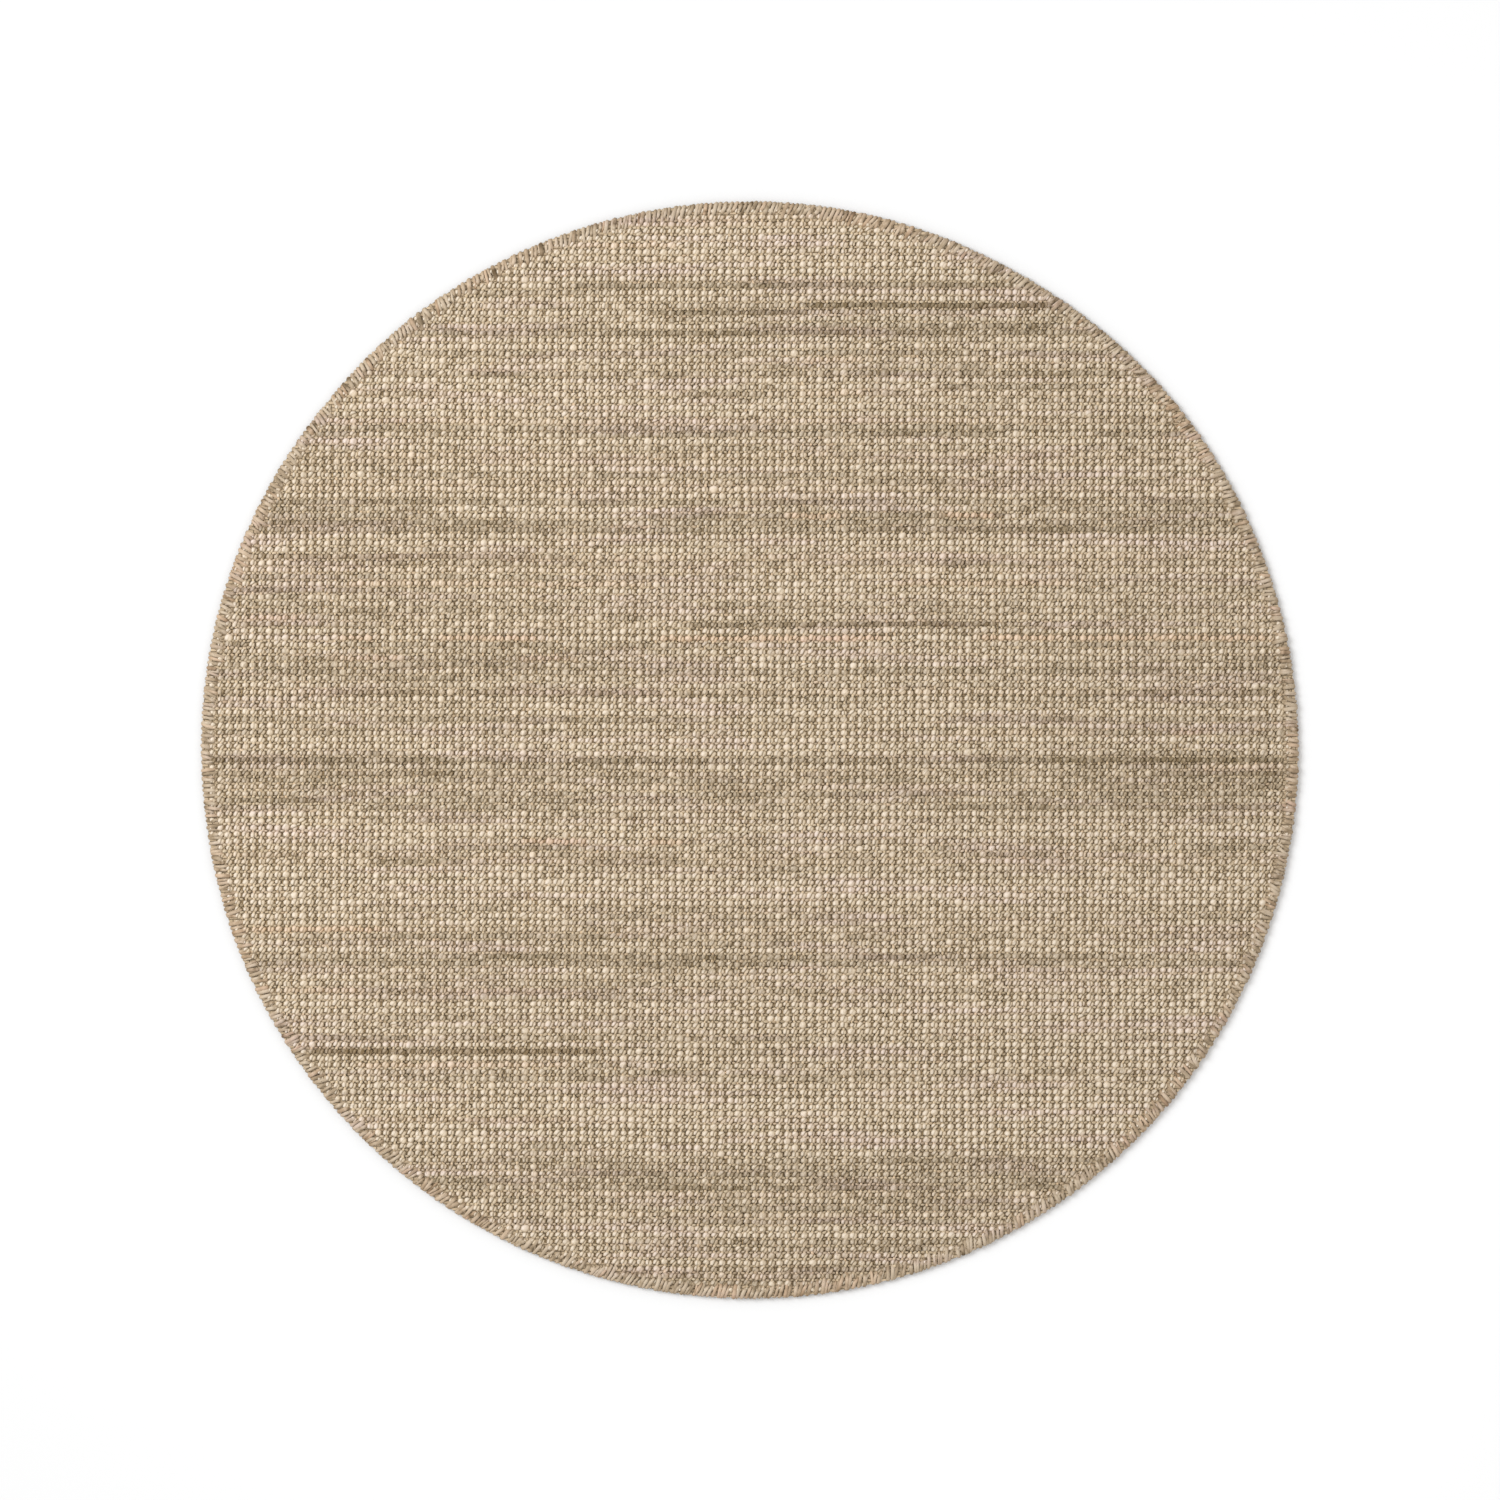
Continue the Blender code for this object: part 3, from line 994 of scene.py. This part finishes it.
@dataclass
class LooseFibres:
    """The fine hairs of jute that have worked loose and lie curled over the loops.

    Attributes:
        weave: The rug's size.
        count: How many there are.
        radius: How thick the usual one is.
        height: How high their middles lie.
    """

    weave: Weave
    count: int = 3000
    radius: float = 0.00011
    height: float = 0.0092

    def build(self) -> Object:
        """Builds the hairs, each a curved strand of three rings.

        Returns:
            The piece.
        """
        draws, count = Seed.FIBRES.draws(), self.count
        inset, droop = 0.006, 0.0009
        reach = (self.weave.radius - inset) * np.sqrt(draws.uniform(0, 1, count))
        angle = draws.uniform(0, math.tau, count)
        height = self.height + draws.normal(0, 0.0003, count)
        middle = np.stack([reach * np.cos(angle), reach * np.sin(angle), height], axis=1)
        heading = draws.uniform(0, math.tau, count)
        bend = draws.normal(0, 0.6, count)
        length = np.clip(draws.normal(0.0060, 0.0025, count), 0.0025, 0.0120)
        stops = np.array([-0.5, -0.27, 0.0, 0.27, 0.5])
        turn = heading[:, None] + bend[:, None] * stops
        along, aside = stops * length[:, None], (stops**2 - 0.08) * (bend * length)[:, None]
        centres = middle[:, None] + np.stack([along * np.cos(turn) - aside * np.sin(turn),
                                              along * np.sin(turn) + aside * np.cos(turn),
                                              -droop * (2 * stops) ** 2 * np.ones(turn.shape)], axis=-1)
        rings, _ = thread(centres, self.radius * np.clip(draws.normal(1, 0.25, count), 0.5, 1.8))
        lightness = np.clip(draws.normal(0.60, 0.16, count), 0, 1)[:, None, None]
        piece = StrandMesh("loose_fibres", columns=20)
        piece.add(rings[:, 1:4], centres[:, [0, 4]], (lightness, 0.0, 1.0), heading, draws)
        return piece.make(LOOP_FINISH.material())


@dataclass
class GroundCloth:
    """The flat cloth that the yarns are woven into, as one closed sheet with a thin rim.

    Attributes:
        weave: The rug's size and outline.
        top: How high the cloth lies between the yarns.
        rim_low: The underside of the rim that the whipping goes round.
        rim_high: Its upper side.
        rim_inset: How far the rim stays inside the rug's outline.
        points_round: How many points its outline has.
    """

    weave: Weave
    top: float = 0.0046
    rim_low: float = 0.0026
    rim_high: float = 0.0058
    rim_inset: float = 0.0018
    points_round: int = 240

    def build(self) -> Object:
        """Builds the sheet by extruding and resizing a round face.

        Returns:
            The piece.
        """
        whip_gap = 0.0004
        middle = self.weave.inner - whip_gap
        rim = self.weave.radius - self.rim_inset
        bpy.ops.object.select_all(action="DESELECT")
        bpy.ops.mesh.primitive_circle_add(vertices=self.points_round, radius=middle, fill_type="NGON")
        cloth = bpy.context.object
        cloth.name = cloth.data.name = "ground_cloth"
        bpy.ops.object.mode_set(mode="EDIT")
        bpy.ops.mesh.select_all(action="SELECT")
        inside, tapered = middle - 0.002, 0.999
        steps = ((self.rim_low, 1.0), (0.0, rim / middle), (self.rim_high - self.rim_low, 1.0),
                 (0.0, inside / rim), (self.top - self.rim_high, tapered))
        for rise, widen in steps:
            bpy.ops.mesh.extrude_region_move(TRANSFORM_OT_translate={"value": (0, 0, rise)})
            bpy.ops.transform.resize(value=(widen, widen, 1.0), center_override=(0, 0, 0))
        bpy.ops.mesh.select_all(action="SELECT")
        bpy.ops.mesh.normals_make_consistent(inside=False)
        bpy.ops.object.mode_set(mode="OBJECT")
        self._follow_outline(cloth)
        cloth.data.materials.append(self._finish())
        LOG.info("ground_cloth: %d faces", len(cloth.data.polygons))
        return cloth

    def _follow_outline(self, cloth: Object) -> None:
        """Moves the sheet's points in or out as the rug's outline strays."""
        for vertex in cloth.data.vertices:
            angle = math.atan2(vertex.co.y, vertex.co.x)
            shift = float(self.weave.edge_at(np.array(angle))) - self.weave.radius
            reach = math.hypot(vertex.co.x, vertex.co.y)
            vertex.co.x *= 1 + shift / reach
            vertex.co.y *= 1 + shift / reach

    def _finish(self) -> Material:
        """Builds the dark cloth deep between the yarns, which shows its flat weave on the underside.

        Returns:
            The material.
        """
        made, graph, shader = new_material("Jute ground cloth")
        bricks = graph.add("TexBrick", {
            "Vector": graph.add("TexCoord", {})["Object"], "Scale": 1.0,
            "Brick Width": 0.00896, "Row Height": 0.0037, "Mortar Size": 0.0006, "Mortar Smooth": 1.0,
            "Color1": (0.46, 0.36, 0.245, 1), "Color2": (0.38, 0.295, 0.195, 1),
            "Mortar": (0.22, 0.16, 0.10, 1),
        }, offset=0.5)
        bump = graph.add("Bump", {"Distance": 0.001, "Height": bricks["Fac"]}, invert=True)
        graph.feed(shader, {"Base Color": bricks["Color"], "Normal": bump["Normal"], "Roughness": 0.95,
                            "Specular IOR Level": 0.15})
        return made


@dataclass
class EdgeWhipping:
    """The yarn sewn over and over the rug's edge.

    Attributes:
        weave: The rug's size and outline.
        pitch: How far apart the stitches are round the edge.
        half_width: Half a stitch's width.
        half_height: Half its thickness.
        slant: How far a stitch leans clockwise from its inner end to the rim, at the rug's top and bottom.
        upright: How much less it leans at the rug's left and right.
    """

    weave: Weave
    pitch: float = 0.0048
    half_width: float = 0.00190
    half_height: float = 0.00155
    slant: float = 0.0050
    upright: float = 0.65

    def _stops(self) -> Array:
        """Lists the rings of the usual stitch, from its inner end over the rim to the underside.

        Returns:
            For each ring, how far in from the rim it lies and how high, how much it has of the slant and of
            the stitch's own reach and lift, how wide it is, and how much of its light it keeps as painted
            shade, which is darker at the inner end under the loops and down the rim's outer side and
            underside.
        """
        reach, top, thick = self.weave.whip_reach, self.weave.whip_top, self.half_height
        return np.array([
            (reach + 0.0022, top - 0.0042, -0.1, 1.0, 0.0, 0.55, 0.45),
            (reach + 0.0002, top - thick - 0.0014, 0.0, 1.0, 1.0, 0.92, 0.80),
            (reach - 0.0035, top - thick - 0.0004, 0.27, 0.5, 1.0, 1.0, 1.00),
            (reach - 0.0075, top - thick, 0.57, 0.0, 1.0, 1.0, 0.98),
            (thick + 0.0006, top - 0.0034, 0.92, 0.0, 1.0, 1.0, 0.76),
            (thick, 0.0042, 1.0, 0.0, 0.0, 1.0, 0.45),
            (thick + 0.0011, 0.0020, 1.0, 0.0, 0.0, 1.0, 0.60),
            (thick + 0.0046, thick, 0.95, 0.0, 0.0, 1.0, 0.70),
            (reach - 0.0020, thick, 0.8, 0.0, 0.0, 0.8, 0.70),
        ])

    def build(self) -> Object:
        """Builds the stitches.

        Returns:
            The piece.
        """
        draws, weave = Seed.WHIPPING.draws(), self.weave
        count = round(math.tau * weave.radius / self.pitch)
        stops = self._stops()
        inwards, rise, leaned, own_reach, own_lift, width, shade = stops.T
        inner = np.clip(draws.normal(-0.0014, 0.0022, count), -0.0050, 0.0028)
        lift = draws.normal(-0.0002, 0.00035, count)
        gaps = np.clip(draws.normal(1.0, 0.26, count), 0.5, 1.7)
        angle = math.tau * np.cumsum(gaps) / gaps.sum()
        upright = 1 - self.upright * np.cos(angle) ** 2
        lean = self.slant * np.clip(upright + draws.normal(0, 0.32, count), -0.3, 1.8)
        size = np.clip(0.5 + 0.5 * gaps + draws.normal(0, 0.14, count), 0.6, 1.4)[:, None] * width
        rise = np.maximum(rise + lift[:, None] * own_lift, self.half_height * size)
        turn = angle[:, None] - lean[:, None] * leaned / weave.radius
        out = weave.edge_at(turn) - (inwards + inner[:, None] * own_reach)
        centres = np.stack([out * np.cos(turn), out * np.sin(turn), rise], axis=-1)
        runs = unit(np.gradient(centres, axis=1))
        around = np.stack([np.sin(turn), -np.cos(turn), np.zeros(turn.shape)], axis=-1)
        across = unit(around - (around * runs).sum(axis=-1, keepdims=True) * runs)
        halves = size[..., None, None] * np.array([self.half_width, self.half_height])
        rings = sweep(centres, runs, across, Section.ROUND_SIX.points() * halves)

        slow = 0.05 * np.sin(angle * 23) + 0.04 * np.sin(angle * 61 + 1)
        lightness = np.clip(draws.normal(0.75, 0.13, count) + slow, 0, 1)[:, None]
        lightness = np.clip(lightness + draws.normal(0, 0.24, (count, len(stops))), 0, 1)[..., None]
        reddish = eased(np.sin(angle * 9 + 2) * 3 - 1.6)
        warmth = np.clip(draws.uniform(0, 1, count) ** 7 * 1.2 + 0.4 * reddish, 0, 1)[:, None, None]
        # Painted shade round each stitch: lighter along its top, darker down its sides and underneath, where
        # the stitches shade each other
        side_shade = np.array([1, 0.70, 0.35, 0.35, 0.35, 0.70])
        piece = StrandMesh("edge_stitches", columns=13)
        tones = (lightness, warmth, shade[:, None] * side_shade)
        piece.add(rings, end_points(centres, runs, 0.0008), tones, angle, draws)
        return piece.make(WHIPPING_FINISH.material())


@dataclass(frozen=True)
class Studio:
    """The pale floor, the soft light and the camera above the rug.

    Attributes:
        rug_share: How much of the picture's width the rug takes.
        lens: The camera's focal length, in millimetres.
        floor_side: How wide the floor is.
        floor_far: The floor's linear colour on the side away from the key light.
        floor_near: Its colour towards the light.
        key_place: Where the key light hangs.
    """

    rug_share: float = 1096.96 / 1500
    lens: float = 85.0
    floor_side: float = 14.0
    floor_far: Colour = (0.728, 0.733, 0.744)
    floor_near: Colour = (0.576, 0.578, 0.583)
    key_place: tuple[float, float, float] = (-2.5, 1.2, 3.2)

    def build(self, rug_radius: float) -> None:
        """Builds the floor, the surround, the light and the camera, which takes in a rug of this radius."""
        self._floor()
        self._sky()
        self._key_light()
        self._camera(rug_radius)

    def _floor(self) -> None:
        """Lays the floor a hair below the rug, darker towards the light so that it looks evenly white."""
        bpy.ops.object.select_all(action="DESELECT")
        below_rug, fade = 0.0002, 0.85
        bpy.ops.mesh.primitive_plane_add(size=self.floor_side, location=(0, 0, -below_rug))
        floor = bpy.context.object
        floor.name = "floor"
        finish, graph, shader = new_material("Floor")
        towards = Vector((*self.key_place[:2], 0)).normalized()
        place = {0: graph.add("TexCoord", {})["Object"], 1: towards}
        nearer = graph.add("VectorMath", place, operation="DOT_PRODUCT")["Value"]
        share = graph.add("MapRange", {"Value": nearer, "From Min": -fade, "From Max": fade})["Result"]
        colour = graph.mix("MIX", share, (*self.floor_far, 1), (*self.floor_near, 1))
        graph.feed(shader, {"Base Color": colour, "Roughness": 0.9, "Specular IOR Level": 0.1})
        floor.data.materials.append(finish)

    def _sky(self) -> None:
        """Sets an even white surround."""
        world = bpy.data.worlds.new("Studio")
        world.use_nodes = True
        background = world.node_tree.nodes["Background"].inputs
        background["Color"].default_value = (1.0, 0.985, 0.96, 1)
        background["Strength"].default_value = 1.03
        bpy.context.scene.world = world
        bpy.context.scene.view_settings.view_transform = "Standard"

    def _key_light(self) -> None:
        """Hangs a square light that faces the rug's middle."""
        light = bpy.data.lights.new("key_light", "AREA")
        light.size = 2.2
        light.energy = 145.0
        light.color = (0.97, 0.985, 1.0)
        hung = bpy.data.objects.new("key_light", light)
        hung.location = self.key_place
        hung.rotation_euler = Vector(self.key_place).to_track_quat("Z", "Y").to_euler()
        bpy.context.scene.collection.objects.link(hung)

    def _camera(self, rug_radius: float) -> None:
        """Sets the camera straight above the rug's middle."""
        data = bpy.data.cameras.new("camera")
        data.lens = self.lens
        width = 2 * rug_radius / self.rug_share
        data.clip_end = 50.0
        camera = bpy.data.objects.new("camera", data)
        camera.location = (0, 0, width * data.lens / data.sensor_width)
        bpy.context.scene.collection.objects.link(camera)
        bpy.context.scene.camera = camera


def put_on_rug(piece: Object, slot: str, *nodes: str) -> None:
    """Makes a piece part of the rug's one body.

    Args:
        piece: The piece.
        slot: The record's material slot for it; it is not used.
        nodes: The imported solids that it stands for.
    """
    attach(piece, "root")
    if nodes:
        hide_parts(*nodes)


def main() -> None:
    """Builds the rug's pieces in order, then the studio."""
    logging.basicConfig(level=logging.INFO, format="%(name)s: %(message)s")
    weave = Weave()
    cloth = GroundCloth(weave).build()
    put_on_rug(cloth, "jute_loops", "woven_field")
    yarns = [*PileYarns(weave).build(), *GroundYarns(weave).build(), LooseFibres(weave).build()]
    for piece in yarns:
        put_on_rug(piece, "jute_loops")
    stitches = EdgeWhipping(weave).build()
    put_on_rug(stitches, "jute_whipping", "edge_whipping")
    Studio().build(weave.radius)


if __name__ == "__main__":
    main()
